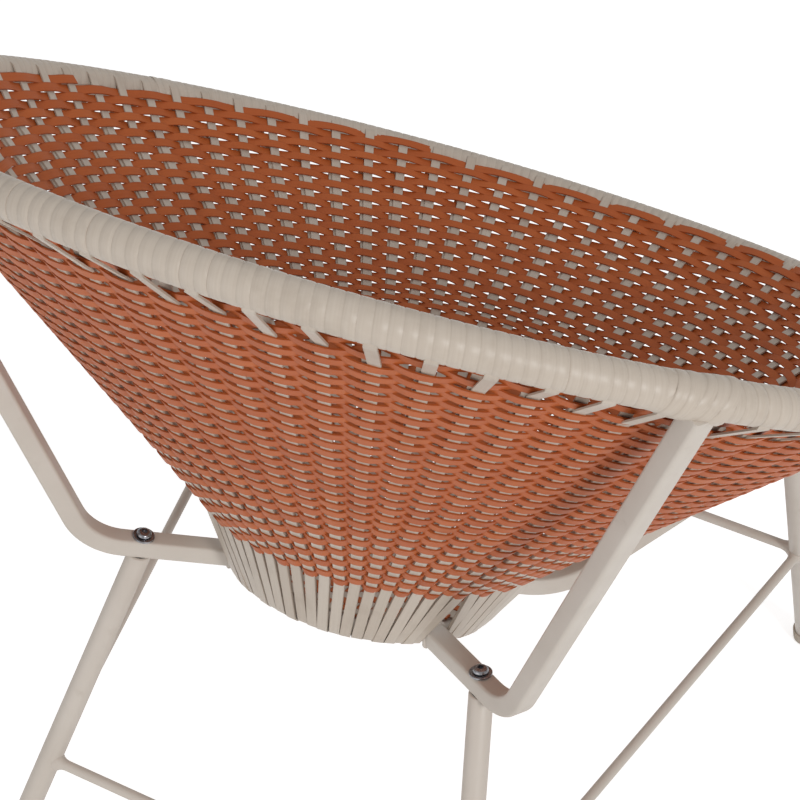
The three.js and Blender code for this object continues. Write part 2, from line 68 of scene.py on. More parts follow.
# Strap, and its wrapping round the hoop
STRAP_WIDTH, STRAP_THICK, ORANGE_THICK = 7.5, 1.2, 1.1
WRAP_RADIUS, WRAP_PITCH = 11.5, 7.5
WARPS = 77
PITCH = 2 * pi / WARPS

# The wall's top lies a little inside the hoop's circle and its foot stands off the ring. The two
# strands of an upright leave the wrapping on either side and come together at the join.
WALL_INSET = 3
WALL_FOOT_RADIUS, WALL_FOOT_RISE = 130, 49
LEAVE_RADIUS = 12.15
JOIN_DROP, JOIN_START, JOIN_SPREAD = 48, 42, 14

# Square arms and round legs. CORNERS says on which side of the chair each is, and if it's at the back.
ARM_SIZE, ARM_CORNER = 15, 2.5
ARM_ANGLE = radians(35.5)
LEG_RADIUS = 8.6
SOLE = 3
GAP = 0.3
CORNERS = {"back_left": (1, True), "back_right": (-1, True),
           "front_left": (1, False), "front_right": (-1, False)}


# Materials
class Level:
    """A number that changes over a surface; sums and products of it add Math nodes."""

    def __init__(self, finish, socket):
        self.finish, self.socket = finish, socket

    def _with(self, operation, first, second):
        return self.finish.node("ShaderNodeMath", {"operation": operation}, {0: first, 1: second})

    def __add__(self, other):
        return self._with("ADD", self, other)

    def __sub__(self, other):
        return self._with("SUBTRACT", self, other)

    def __rsub__(self, other):
        return self._with("SUBTRACT", other, self)

    def __mul__(self, other):
        return self._with("MULTIPLY", self, other)


class Finish:
    """A node material: node() adds any node and gives back one of its outputs."""

    def __init__(self, name):
        self.material = bpy.data.materials.new(name)
        self.material.use_nodes = True
        self.tree = self.material.node_tree
        self.tree.nodes.clear()

    def node(self, kind, settings=None, sockets=None, out=0):
        made = self.tree.nodes.new(kind)
        for key, value in (settings or {}).items():
            setattr(made, key, value)
        for key, value in (sockets or {}).items():
            if isinstance(value, Level):
                self.tree.links.new(value.socket, made.inputs[key])
            else:
                made.inputs[key].default_value = value
        return Level(self, made.outputs[out])

    def object_place(self):
        """Object coordinates, the node's fourth output."""
        return self.node("ShaderNodeTexCoord", out=3)

    def noise(self, place, scale, detail=2, roughness=0.5):
        return self.node("ShaderNodeTexNoise", None,
                         {"Vector": place, "Scale": scale, "Detail": detail, "Roughness": roughness})

    def spread(self, value, low, high, to_low=0, to_high=1):
        """Brings a value's range low to high to the range to_low to to_high."""
        return self.node("ShaderNodeMapRange", {"clamp": True},
                         {0: value, 1: low, 2: high, 3: to_low, 4: to_high})

    def tint(self, share, first, second):
        """A mix of two colours, which are the Mix node's sockets 6 and 7 and its output 2."""
        return self.node("ShaderNodeMix", {"data_type": "RGBA"}, {0: share, 6: first, 7: second}, out=2)

    def surface(self, colour, roughness, height, strength, depth, **fixed):
        """Shader with a bump from height, as deep as depth metres; fixed holds its other sockets."""
        bump = self.node("ShaderNodeBump", None, {"Strength": strength, "Distance": depth, "Height": height})
        sockets = {"Base Color": colour, "Roughness": roughness, **fixed, "Normal": bump}
        self.end_with(self.node("ShaderNodeBsdfPrincipled", None, sockets))
        return self.material

    def end_with(self, shader):
        end = self.tree.nodes.new("ShaderNodeOutputMaterial")
        self.tree.links.new(shader.socket, end.inputs["Surface"])


def srgb(red, green, blue):
    """A screen colour, 0 to 255, as the scene's linear colour."""
    def linear(part):
        part = part / 255
        return part / 12.92 if part <= 0.04045 else ((part + 0.055) / 1.055) ** 2.4
    return (linear(red), linear(green), linear(blue), 1)


def powder_coat():
    """Beige paint: cloudy in tone, rubbed darker in places, with a fine grain."""
    finish = Finish("beige_powder_coat")
    place = finish.object_place()
    cloud = finish.noise(place, scale=14, detail=3)
    grain = finish.noise(place, scale=900)
    rub = finish.noise(place, scale=60, detail=4, roughness=0.6)
    colour = finish.tint(finish.spread(cloud, 0.3, 0.7), srgb(198, 188, 177), srgb(207, 198, 188))
    colour = finish.tint(finish.spread(rub, 0.62, 0.78, 0, 0.35), colour, srgb(183, 171, 158))
    roughness = finish.spread(rub, 0.3, 0.75, 0.42, 0.56)
    return finish.surface(colour, roughness, grain * 0.6 + rub * 0.4, strength=0.12, depth=0.0002)


def strap_finish(name, dark, light, grime_and_edge_shade, roughness, shine):
    """Extruded plastic strap: one tone for each length, fine lines along it, dust, and painted shade
    darkening its edges.
    The strap's own map gives metres along it, and across it the strap's number plus 0 to 1."""
    finish = Finish(name)
    own = finish.node("ShaderNodeUVMap", {"uv_map": "strap"})
    split = finish.tree.nodes.new("ShaderNodeSeparateXYZ")
    finish.tree.links.new(own.socket, split.inputs[0])
    run, cross = Level(finish, split.outputs[0]), Level(finish, split.outputs[1])
    number = finish.node("ShaderNodeMath", {"operation": "FLOOR"}, {0: cross})
    width = cross - number
    tone = finish.node("ShaderNodeTexWhiteNoise", {"noise_dimensions": "1D"}, {"W": number})
    drift_place = finish.node("ShaderNodeCombineXYZ", None, {0: run * 22, 1: cross * 7})
    drift = finish.noise(drift_place, scale=1)
    line_place = finish.node("ShaderNodeCombineXYZ", None, {0: run * 45, 1: cross * 34})
    lines = finish.noise(line_place, scale=1, detail=3, roughness=0.65)
    dust = finish.noise(finish.object_place(), scale=38, detail=4, roughness=0.6)
    shade = tone * 0.34 + drift * 0.46 + lines * 0.2
    colour = finish.tint(finish.spread(shade, 0.25, 0.85), dark, light)
    # Painted shade: the colour darkens towards both edges of each strap, where straps meet and pass under
    # each other. The same dark colour also marks real dust patches.
    off_middle = finish.node("ShaderNodeMath", {"operation": "ABSOLUTE"}, {0: width - 0.5})
    edge = finish.spread(off_middle, 0.36, 0.5, 0, 0.55)
    soil = finish.spread(dust, 0.55, 0.8, 0, 0.4)
    colour = finish.tint(edge * 0.6 + soil * (1 - edge), colour, grime_and_edge_shade)
    gloss = finish.spread(lines + dust * 0.5, 0.4, 1.1, roughness - 0.07, roughness + 0.09)
    return finish.surface(colour, gloss, lines * 0.75 + dust * 0.25, strength=0.22, depth=0.0003,
                          **{"Specular IOR Level": shine})


def bolt_steel():
    finish = Finish("dark_zinc")
    place = finish.object_place()
    brushed = finish.noise(place, scale=420, detail=3)
    stain = finish.noise(place, scale=90, detail=3)
    colour = finish.tint(finish.spread(stain, 0.35, 0.7), srgb(118, 118, 122), srgb(168, 168, 172))
    return finish.surface(colour, finish.spread(brushed, 0.3, 0.7, 0.2, 0.38), brushed,
                          strength=0.15, depth=0.0001, Metallic=1.0)


def foot_plastic():
    finish = Finish("moulded_foot")
    place = finish.object_place()
    grain = finish.noise(place, scale=1400)
    scuff = finish.noise(place, scale=130, detail=4, roughness=0.65)
    colour = finish.tint(finish.spread(scuff, 0.5, 0.75), srgb(182, 170, 155), srgb(146, 134, 120))
    return finish.surface(colour, finish.spread(scuff, 0.3, 0.7, 0.55, 0.75), grain,
                          strength=0.25, depth=0.0002)


PAINT = powder_coat()
# A strap's darkest colour serves both its dust and the painted shade along its edges.
BEIGE = strap_finish("beige_strap", dark=srgb(184, 170, 155), light=srgb(202, 191, 178),
                     grime_and_edge_shade=srgb(158, 143, 127), roughness=0.42, shine=0.5)
TERRACOTTA = strap_finish("terracotta_strap", dark=srgb(172, 84, 37), light=srgb(190, 102, 50),
                          grime_and_edge_shade=srgb(128, 59, 26), roughness=0.5, shine=0.3)
STEEL = bolt_steel()
NYLON = foot_plastic()


# Making pieces
def make_piece(name, bm, look, slot, nodes, thick=None, sharp=38):
    """A visible piece in the place of the CAD nodes. Its edges are sharp where the faces turn by
    sharp degrees or more, and round an open strip, so that its thickness shows as a flat edge."""
    bmesh.ops.scale(bm, vec=(MM, MM, MM), verts=bm.verts)
    mesh = bpy.data.meshes.new(name)
    bm.to_mesh(mesh)
    rim = [edge.index for edge in bm.edges if edge.is_boundary]
    bm.free()
    mesh.materials.append(look)
    mesh.shade_smooth()
    mesh.set_sharp_from_angle(angle=radians(sharp))
    for index in rim:
        mesh.edges[index].use_edge_sharp = True
    piece = bpy.data.objects.new(name, mesh)
    scene.collection.objects.link(piece)
    if thick:
        wall = piece.modifiers.new("strap thickness", "SOLIDIFY")
        wall.thickness, wall.offset = thick * MM, 0
    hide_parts(*nodes)
    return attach(piece, "root")


def paint_piece(name, bm, nodes, sharp=50):
    make_piece(name, bm, PAINT, "frame_paint", nodes, sharp=sharp)


def bent_grid(bm, columns, rows, place, mark=None):
    """A flat grid of columns by rows faces, bent to place(column, row); mark gives its own map."""
    made = bmesh.ops.create_grid(bm, x_segments=columns, y_segments=rows, size=0.5)["verts"]
    step = {}
    for vert in made:
        step[vert] = (round((vert.co.x + 0.5) * columns), round((vert.co.y + 0.5) * rows))
    if mark:
        own = bm.loops.layers.uv.get("strap") or bm.loops.layers.uv.new("strap")
        for face in {face for vert in made for face in vert.link_faces}:
            for loop in face.loops:
                loop[own].uv = mark(*step[loop.vert])
    for vert, (column, row) in step.items():
        vert.co = place(column, row)


# A strap's section has points at these shares of its half width. Its map starts further along for
# each number, and keeps inside the number's own unit. Numbers of different kinds start far apart.
ACROSS = (-1, -0.7, 0.7, 1)
MAP_START, MAP_HALF = 0.37, 0.49
OUTER_NUMBERS, WRAP_NUMBER, BOTTOM_NUMBERS, JOINT_NUMBERS = 100, 200, 300, 400


def strip(bm, path, number):
    """A flat strap along path, a list of (point, half width vector); number picks its tone."""
    run = [0.0]
    for (before, _), (after, _) in zip(path, path[1:]):
        run.append(run[-1] + (after - before).length * MM)
    bent_grid(bm, len(path) - 1, len(ACROSS) - 1,
              lambda along, over: path[along][0] + path[along][1] * ACROSS[over],
              lambda along, over: (run[along] + number * MAP_START,
                                   number + 0.5 + MAP_HALF * ACROSS[over]))


def close_and_turn_out(bm, ends=True, merge=0.01):
    """Joins points that meet, closes open ends and turns the faces outward."""
    bmesh.ops.remove_doubles(bm, verts=bm.verts, dist=merge)
    if ends:
        bmesh.ops.holes_fill(bm, edges=[edge for edge in bm.edges if edge.is_boundary], sides=0)
    bmesh.ops.recalc_face_normals(bm, faces=bm.faces)


def tube(bm, frames, section):
    """A closed bar with a section of (side, up) points through frames (place, side, up, scale)."""
    count = len(section)

    def place(around, along):
        where, side, up, scale = frames[along]
        out, rise = section[around % count]
        return where + side * out * scale + up * rise * scale
    bent_grid(bm, count, len(frames) - 1, place)
    close_and_turn_out(bm)


def round_section(radius, sides):
    return [(radius * cos(2 * pi * i / sides), radius * sin(2 * pi * i / sides)) for i in range(sides)]


def square_section(size, corner, steps=5):
    flat = size / 2 - corner
    points = []
    for quarter in range(4):
        turn = pi / 2 * quarter
        middle = (flat if quarter in (0, 3) else -flat, flat if quarter in (0, 1) else -flat)
        for i in range(steps + 1):
            angle = turn + pi / 2 * i / steps
            points.append((middle[0] + corner * cos(angle), middle[1] + corner * sin(angle)))
    return points


# Where things run
def on_hoop(angle, radius, rise):
    return HOOP_CENTRE + (X_AXIS * cos(angle) + HOOP_BACK * sin(angle)) * radius + HOOP_UP * rise


def on_ring(angle, radius, rise):
    return RING_CENTRE + (X_AXIS * cos(angle) + RING_BACK * sin(angle)) * radius + RING_UP * rise


def round_hoop(angle, radius, turn):
    """A point round the hoop's tube; turn 0 is its outermost side."""
    return on_hoop(angle, HOOP_RADIUS + radius * cos(turn), radius * sin(turn))


def round_ring(angle, radius, turn):
    return on_ring(angle, RING_RADIUS + radius * cos(turn), radius * sin(turn))


def smooth(share):
    share = min(1, max(0, share))
    return share * share * (3 - 2 * share)


def mix(first, second, share):
    return first + (second - first) * share


# A ruling is the line in the seat's wall at one angle, from the hoop down to the wall's foot.
# inner and outer are where the two strands of an upright leave the wrapped hoop.
Ruling = namedtuple("Ruling", "hoop top down length inward along inner outer join")


@lru_cache(maxsize=None)
def ruling(angle):
    out = X_AXIS * cos(angle) + HOOP_BACK * sin(angle)
    hoop = HOOP_CENTRE + out * HOOP_RADIUS
    foot = on_ring(angle, WALL_FOOT_RADIUS, WALL_FOOT_RISE)
    tangent = HOOP_BACK * cos(angle) - X_AXIS * sin(angle)
    inward = tangent.cross(foot - hoop).normalized()
    if inward.dot(out) > 0:
        inward = -inward
    top = hoop + inward * WALL_INSET
    down = foot - top
    length = down.length
    down = down / length
    join = top + down * JOIN_DROP
    reach = join - hoop
    way = reach.normalized()
    lean = acos(LEAVE_RADIUS / reach.length)
    side = (inward - way * inward.dot(way)).normalized()
    inner, outer = (hoop + (way * cos(lean) + side * sign * sin(lean)) * LEAVE_RADIUS for sign in (1, -1))
    along = down.cross(inward)
    if along.dot(tangent) < 0:
        along = -along
    return Ruling(hoop, top, down, length, inward, along.normalized(), inner, outer, join)


def along_table(table, at):
    """Straight-line reading of a table of (at, value, ...) rows."""
    for before, after in zip(table, table[1:]):
        if at <= after[0]:
            share = max(0, (at - before[0]) / (after[0] - before[0]))
            return [mix(first, second, share) for first, second in zip(before[1:], after[1:])]
    return list(table[-1][1:])


# Uprights are numbered from the hidden right side. Their spacing drifts a little round the hoop, and
# CROWDING is how far, in uprights, each is off that even drift.
SEAM_PLACE = 41.13
DRIFT, DRIFT_TURN = 0.113, 1.9
CROWDING = ((0, 0), (8, 0.06), (11, 0.05), (20, 0.15), (24, 0.12), (29, -0.04), (34, -0.66), (36, -0.8),
            (48, 0), (77, 0))


def strap_angle(place):
    even = PITCH * (place + along_table(CROWDING, place)[0] + SEAM_PLACE)
    return even + DRIFT * PITCH * cos(even - DRIFT_TURN)


# Rows of the orange strap are counted from the foot of the wall up, and LOW_ROWS is how high the
# lowest ones lie. Zones and steps are in degrees round the hoop: the back has more rows than the
# front, which gains one at each step, and the sides run evenly from one count to the other.
LOW_ROWS = (0, 9.25, 18.5, 27.75, 37, 46.25, 55.5, 64.5, 73.5, 82, 90.5, 98.25, 106, 113.25, 120.5)
FRONT_ROWS, BACK_ROWS = 39, 59
FRONT_ZONE, BACK_ZONE = (-138, 5), (76, 146)
ROW_STEPS, STEP_SPREAD = (-70, -19, -5), 14


@lru_cache(maxsize=None)
def row_count(angle):
    turn = (angle * 180 / pi + 180) % 360 - 180
    if FRONT_ZONE[0] <= turn <= FRONT_ZONE[1]:
        return FRONT_ROWS + sum(smooth((turn - at + STEP_SPREAD / 2) / STEP_SPREAD) for at in ROW_STEPS)
    if FRONT_ZONE[1] < turn < BACK_ZONE[0]:
        share = (turn - FRONT_ZONE[1]) / (BACK_ZONE[0] - FRONT_ZONE[1])
        return mix(FRONT_ROWS + len(ROW_STEPS), BACK_ROWS, share)
    if BACK_ZONE[0] <= turn <= BACK_ZONE[1]:
        return BACK_ROWS
    hidden = (FRONT_ZONE[0] - BACK_ZONE[1]) % 360
    return mix(BACK_ROWS, FRONT_ROWS, ((turn - BACK_ZONE[1]) % 360) / hidden)


# Above the low rows the spacing is even, but for these shares, which lift the rows at the back and
# lower them at the front. Where the front is in view, FRONT_LAW sets them instead: by degrees round
# the hoop, how far below the wall's top row LAW_ROW lies and the spacing there. Below EVEN_ROW they
# even out to the low rows.
TOP_ROW_DROP = 4
BACK_LIFT_SHARE, FRONT_SAG_SHARE, FRONT_SAG_POWER = 0.1, 0.035, 6
FRONT_LAW = ((205, 7.5, 6.45), (244, 6.8, 6.47), (286, 12.4, 6.45), (327, 22.4, 6.85), (348, 31, 7.22),
             (362, 37, 7.45))
LAW_ROW, EVEN_ROW = 38, 21
LAW_START, LAW_FADE_IN = 211, 11
LAW_END, LAW_FADE_OUT = 362, 10


def row_drop(row, angle):
    """How far below the top of the wall a row lies."""
    line = ruling(angle)
    low_count = len(LOW_ROWS)
    if row <= low_count:
        low = floor(max(row, 1))
        high = min(low + 1, low_count)
        rise = mix(LOW_ROWS[low - 1], LOW_ROWS[high - 1], max(row, 1) - low)
        rise += min(0, row - 1) * LOW_ROWS[1]
        return line.length - rise
    start = line.length - LOW_ROWS[-1]
    share = (row - low_count) / (row_count(angle) - low_count)
    back = (1 + sin(angle)) / 2
    share += (BACK_LIFT_SHARE * back * (share - share * share)
              + FRONT_SAG_SHARE * (1 - back) * (share ** FRONT_SAG_POWER - share))
    drop = mix(start, TOP_ROW_DROP, share)
    turn = angle * 180 / pi % 360
    law = smooth((turn - LAW_START) / LAW_FADE_IN) * smooth((LAW_END - turn) / LAW_FADE_OUT)
    if law > 0:
        first, spacing = along_table(FRONT_LAW, turn)
        there = first + (LAW_ROW - max(row, EVEN_ROW)) * spacing
        if row < EVEN_ROW:
            there = mix(start, there, (row - low_count) / (EVEN_ROW - low_count))
        drop = mix(drop, there, law)
    return drop


def wall_middle(line, drop):
    """A point in the middle of the weave: the inner strand's line above the join, the wall below."""
    upper = line.inner + (line.join - line.inner) * (drop / JOIN_DROP)
    lower = line.top + line.down * drop
    return mix(upper, lower, smooth((drop - JOIN_START) / JOIN_SPREAD))


# Orange rows. A turn's path has its points at the SAMPLES beside every upright, in shares of their
# spacing. It runs only where a row fits between the foot and the hoop, and a run of fewer points
# than SHORTEST is left out. The strap is made as three pieces, by the numbers of its turns.
SAMPLES = (-0.5, -0.36, -0.2, 0, 0.2, 0.36)
TURN_SHIFT = 6.5
LOWEST_ROW, TOP_MARGIN, SHORTEST = 0.85, 0.35, 5
ROW_WANDER, ROWS_SEED = 0.25, 11
ROW_GROUPS = (("lower", 1, 20), ("middle", 21, 38), ("upper", 39, BACK_ROWS))

# The wave over and under the uprights: nearly square at the foot, nearly round at the top, and
# shallow where the uprights' strands part.
SNAP_FOOT, SNAP_TOP, SNAP_RISE = 1.8, 0.8, 1.6
SHALLOW_WAVE, FULL_WAVE, WAVE_START, WAVE_SPREAD = 1.35, 2.1, 16, 30

# How much of the strap's width shows, with shares of the rows' spacing: over an upright inside,
# where it narrows with the spacing, over one outside, and between two uprights.
INSIDE_SHARE, INSIDE_MOST, INSIDE_WIDTH, INSIDE_GAIN, INSIDE_PITCH = 0.93, 7.6, 6, 2.3, 6.45
OUTSIDE_SHARE, OUTSIDE_MOST = 1.09, 7.9
BETWEEN_SHARE, BETWEEN_MOST, BETWEEN_START, BETWEEN_SPREAD = 1.03, 8.8, 0.4, 0.6
ROLL = 0.12


def row_at(turn, place):
    """The row that turn has reached at an upright: each turn drops one row over the hidden side."""
    early = smooth(place / TURN_SHIFT)
    late = smooth((place - WARPS + TURN_SHIFT) / TURN_SHIFT)
    return turn + (0.5 * (1 - early) - 0.5 * late)


def orange_width(pitch, wave, between):
    narrow = INSIDE_WIDTH + INSIDE_GAIN * (pitch - INSIDE_PITCH)
    inside = max(INSIDE_SHARE * pitch, min(INSIDE_MOST, narrow))
    over = min(OUTSIDE_MOST, mix(pitch * OUTSIDE_SHARE, inside, (1 + wave) / 2))
    return mix(over, min(BETWEEN_MOST, pitch * BETWEEN_SHARE), between)


def orange_turn(turn, chance):
    """The path of one turn of the orange strap, as unbroken runs of (point, half width)."""
    runs, path = [], []
    lift = chance.uniform(-ROW_WANDER, ROW_WANDER)
    for step in range(WARPS * len(SAMPLES) + 1):
        place = step // len(SAMPLES) + SAMPLES[step % len(SAMPLES)]
        angle = strap_angle(place)
        row = row_at(turn, place)
        if row > row_count(angle) + TOP_MARGIN or row < LOWEST_ROW:
            runs.append(path)
            path = []
            continue
        line = ruling(angle)
        drop = row_drop(row, angle)
        pitch = row_drop(row - 0.5, angle) - row_drop(row + 0.5, angle)
        height = 1 - drop / line.length
        snap = mix(SNAP_FOOT, SNAP_TOP, smooth(height * SNAP_RISE))
        wave = tanh(snap * cos(pi * (place + turn))) / tanh(snap)
        depth = mix(SHALLOW_WAVE, FULL_WAVE, smooth((drop - WAVE_START) / WAVE_SPREAD))
        centre = wall_middle(line, drop) + line.down * lift + line.inward * wave * depth
        between = smooth((abs(2 * (place - round(place))) - BETWEEN_START) / BETWEEN_SPREAD)
        half = orange_width(pitch, wave, between) / 2
        roll = ROLL * (1 - between) * (1 if wave > 0 else -1)
        path.append((centre, line.down * half + line.inward * roll))
    return [run for run in runs + [path] if len(run) >= SHORTEST]


def orange_rows():
    chance = random.Random(ROWS_SEED)
    for name, low, high in ROW_GROUPS:
        bm = bmesh.new()
        for turn in range(low, high + 1):
            for path in orange_turn(turn, chance):
                strip(bm, path, turn)
        make_piece(f"orange_rows_{name}", bm, TERRACOTTA, "strap_terracotta", ["woven_wall"], ORANGE_THICK)


# Beige uprights. A strand comes out from under the wrapping along (degrees back round the hoop,
# share of its distance from the hoop's middle). Below the join the strands lie against each other,
# and the outer one, which starts to the side, comes in line.
INNER_TUCK = ((24, 0.86), (14, 0.93), (6, 0.985))
OUTER_TUCK = ((24, 0.8), (15, 0.85), (6, 0.94))
TRIAL_TURN = radians(5)
STRAND_OFF, STRAND_START = 0.7, 44
UPRIGHT_STEP, OUTER_STEPS = 4.4, 7
WANDER, WANDER_LENGTH = 0.35, 60
SIDE_STEP, SIDE_WANDER, SIDE_START, SIDE_SPREAD = 2.8, 0.3, 40, 160
ROW_LEAD = 4
INNER_SEED, OUTER_SEED = 5, 6


def under_wrap(line, radial, tuck, hoop, half):
    """The strand's way out from under the wrapping, turned back from where it leaves at radial."""
    ahead = Matrix.Rotation(TRIAL_TURN, 3, line.along) @ radial
    sign = -1 if ahead.dot(line.down) > radial.dot(line.down) else 1
    return [(hoop + Matrix.Rotation(radians(sign * back), 3, line.along) @ radial * share, half)
            for back, share in tuck]


def inner_upright(place, chance):
    line = ruling(strap_angle(place))
    half = line.along * STRAP_WIDTH / 2
    lean = chance.uniform(-WANDER, WANDER)
    path = under_wrap(line, line.inner - line.hoop, INNER_TUCK, line.hoop, half)
    count = int(line.length / UPRIGHT_STEP)
    for i in range(count + 1):
        drop = line.length * i / count
        off = STRAND_OFF * smooth((drop - STRAND_START) / JOIN_SPREAD)
        centre = wall_middle(line, drop) + line.inward * off + line.along * lean * sin(drop / WANDER_LENGTH)
        path.append((centre, half))
    return path


def first_outer_row(place, angle):
    """The highest row below the join that passes outside this upright."""
    for row in range(int(row_count(angle)), 0, -1):
        if row_drop(row, angle) > JOIN_DROP and (place + row) % 2 == 1:
            return row
    return 1


def outer_upright(place, chance):
    angle = strap_angle(place)
    line = ruling(angle)
    half = line.along * STRAP_WIDTH / 2
    shift = line.along * (SIDE_STEP + chance.uniform(-SIDE_WANDER, SIDE_WANDER))
    tuck = row_drop(first_outer_row(place, angle), angle) - ROW_LEAD
    tuck_point = wall_middle(line, tuck) - line.inward * STRAND_OFF
    path = under_wrap(line, line.outer - line.hoop, OUTER_TUCK, line.hoop + shift, half)
    for i in range(OUTER_STEPS):
        path.append((mix(line.outer, tuck_point, i / OUTER_STEPS) + shift, half))
    count = int((line.length - tuck) / UPRIGHT_STEP)
    for i in range(count + 1):
        drop = mix(tuck, line.length, i / count)
        aside = shift * (1 - smooth((drop - SIDE_START) / SIDE_SPREAD))
        path.append((wall_middle(line, drop) - line.inward * STRAND_OFF + aside, half))
    return path


def beige_uprights():
    for name, maker, seed, numbers in (("inner", inner_upright, INNER_SEED, 0),
                                       ("outer", outer_upright, OUTER_SEED, OUTER_NUMBERS)):
        chance = random.Random(seed)
        bm = bmesh.new()
        for place in range(WARPS):
            strip(bm, maker(place, chance), place + numbers)
        make_piece(f"beige_uprights_{name}", bm, BEIGE, "strap_beige", ["woven_wall"], STRAP_THICK)


# Skirt, over and round the ring. BAR_ROOM is how many radians the bars push a strap aside, and the
# push fades with the distance from the bar. Laps are in thicknesses of strap off the ring's rod, and
# the outer strands' wander from LAP_LOW to LAP_HIGH. PART moves each strand to its own side. It goes
# round the rod as far as RING_TURN, and its end is tucked up by TUCK_UP.
BARS = (ARM_ANGLE, pi - ARM_ANGLE, pi + ARM_ANGLE, 2 * pi - ARM_ANGLE)
BAR_ROOM, PUSH_START, PUSH_SPREAD = 0.124, 1.6, 0.5
INNER_LAP, OUTER_LAP, LAP_LOW, LAP_HIGH = 0.6, 1.9, -0.5, 0.4
PART, ANGLE_WANDER = 0.3, 0.008
SKIRT_STEPS, ROUND_RING_STEPS = 7, 8
RING_TURN, TUCK_UP = -pi * 1.02, 4
SKIRT_SEED = 9


def ring_angle(angle):
    """Where a strap that comes down at an angle meets the ring: the bars push it aside."""
    angle %= 2 * pi
    shift = 0
    for bar in BARS:
        off = (angle - bar + pi) % (2 * pi) - pi
        side = 1 if off >= 0 else -1
        push = sqrt(off * off + BAR_ROOM * BAR_ROOM) - abs(off)
        shift += side * push * smooth(PUSH_START - abs(off) / PUSH_SPREAD)
    return angle + shift


def skirt_strand(place, outer, chance):
    angle = strap_angle(place)
    line = ruling(angle)
    sign = 1 if outer else -1
    start = wall_middle(line, line.length) - line.inward * STRAND_OFF * sign
    lap = RING_ROD_RADIUS + STRAP_THICK * (OUTER_LAP if outer else INNER_LAP)
    if outer:
        lap += chance.uniform(LAP_LOW, LAP_HIGH)
    down = ring_angle(angle) + PART * sign / RING_RADIUS + chance.uniform(-ANGLE_WANDER, ANGLE_WANDER)
    away = atan2(WALL_FOOT_RISE, WALL_FOOT_RADIUS - RING_RADIUS)
    meet = away - acos(lap / hypot(WALL_FOOT_RADIUS - RING_RADIUS, WALL_FOOT_RISE))
    touch = round_ring(down, lap, meet)
    round_way = RING_BACK * cos(down) - X_AXIS * sin(down)
    half = round_way * STRAP_WIDTH / 2
    path = []
    for i in range(SKIRT_STEPS):
        share = i / SKIRT_STEPS
        across = mix(line.along, round_way, share).normalized()
        path.append((mix(start, touch, share), across * STRAP_WIDTH / 2))
    for i in range(ROUND_RING_STEPS + 1):
        path.append((round_ring(down, lap, mix(meet, RING_TURN, i / ROUND_RING_STEPS)), half))
    path.append((on_ring(down, RING_RADIUS - lap, TUCK_UP), half))
    return path


def skirt():
    chance = random.Random(SKIRT_SEED)
    bm = bmesh.new()
    for place in range(WARPS):
        strip(bm, skirt_strand(place, False, chance), place)
        strip(bm, skirt_strand(place, True, chance), place + OUTER_NUMBERS)
    make_piece("beige_skirt", bm, BEIGE, "strap_beige", ["strap_skirt"], STRAP_THICK)


# Plain woven floor inside the ring
BOTTOM_STEP, BOTTOM_WAVE, BOTTOM_SAMPLE = 8.6, 0.75, 2.15
BOTTOM_REACH, BOTTOM_RISE = RING_RADIUS + 0.5, RING_ROD_RADIUS + 2.4


def seat_bottom():
    """Beige straps run front to back, orange ones from side to side."""
    count = int(BOTTOM_REACH / BOTTOM_STEP)
    for name, look, slot, along, across, sign in (
            ("beige", BEIGE, "strap_beige", RING_BACK, X_AXIS, 1),
            ("orange", TERRACOTTA, "strap_terracotta", X_AXIS, RING_BACK, -1)):
        bm = bmesh.new()
        for number in range(-count, count + 1):
            off = number * BOTTOM_STEP
            long = sqrt(BOTTOM_REACH * BOTTOM_REACH - off * off)
            samples = max(2, int(2 * long / BOTTOM_SAMPLE))
            path = []
            for i in range(samples + 1):
                at = mix(-long, long, i / samples)
                rise = BOTTOM_RISE + sign * BOTTOM_WAVE * cos(pi * (at / BOTTOM_STEP + number))
                path.append((RING_CENTRE + along * at + across * off + RING_UP * rise,
                             across * STRAP_WIDTH / 2))
            strip(bm, path, number + BOTTOM_NUMBERS)
        make_piece(f"seat_bottom_{name}", bm, look, slot, ["woven_bottom"], ORANGE_THICK)


# Wrapping round the hoop. A band's section has points at the shares BAND of its width, raised by
# BAND_CROWN. The map runs on by a turn's length, in metres, from each band to the next.
BAND = (0.0, 0.1, 0.5, 0.9)
BAND_CROWN = (-0.36, -0.03, 0.06, -0.03)
BAND_MAP_HALF = 0.47
ROUND_STEPS = 22
WRAP_TURN_LENGTH, JOINT_TURN_LENGTH = 0.072, 0.08
WRAP_SHIFT, WRAP_SWELL, WRAP_SEED = 0.05, 0.07, 3


def band_mark(band, part, row, turn_length, number):
    return ((band + row / ROUND_STEPS) * turn_length,
            number + 0.5 + BAND_MAP_HALF * (BAND[part] * 2 - 1))


def hoop_wrap():
    """One spiral: the end of each band is the start of the next."""
    bands = round(2 * pi * HOOP_RADIUS / WRAP_PITCH)
    chance = random.Random(WRAP_SEED)
    shift = [chance.uniform(-WRAP_SHIFT, WRAP_SHIFT) for _ in range(bands)]
    swell = [chance.uniform(-WRAP_SWELL, WRAP_SWELL) for _ in range(bands)]
    bm = bmesh.new()

    def place(column, row):
        band, part = divmod(column, len(BAND))
        turn = row / ROUND_STEPS
        here, after = band % bands, (band + 1) % bands
        spot = band + BAND[part] + turn + mix(shift[here], shift[after], turn)
        radius = WRAP_RADIUS + BAND_CROWN[part] + mix(swell[here], swell[after], turn)
        return round_hoop(2 * pi * spot / bands, radius, -2 * pi * turn)

    def mark(column, row):
        return band_mark(*divmod(column, len(BAND)), row, WRAP_TURN_LENGTH, WRAP_NUMBER)
    bent_grid(bm, bands * len(BAND), ROUND_STEPS, place, mark)
    close_and_turn_out(bm, ends=False)
    make_piece("hoop_wrapping", bm, BEIGE, "strap_beige",
               ["hoop_wrap_back", "hoop_wrap_right", "hoop_wrap_front", "hoop_wrap_left"], sharp=60)


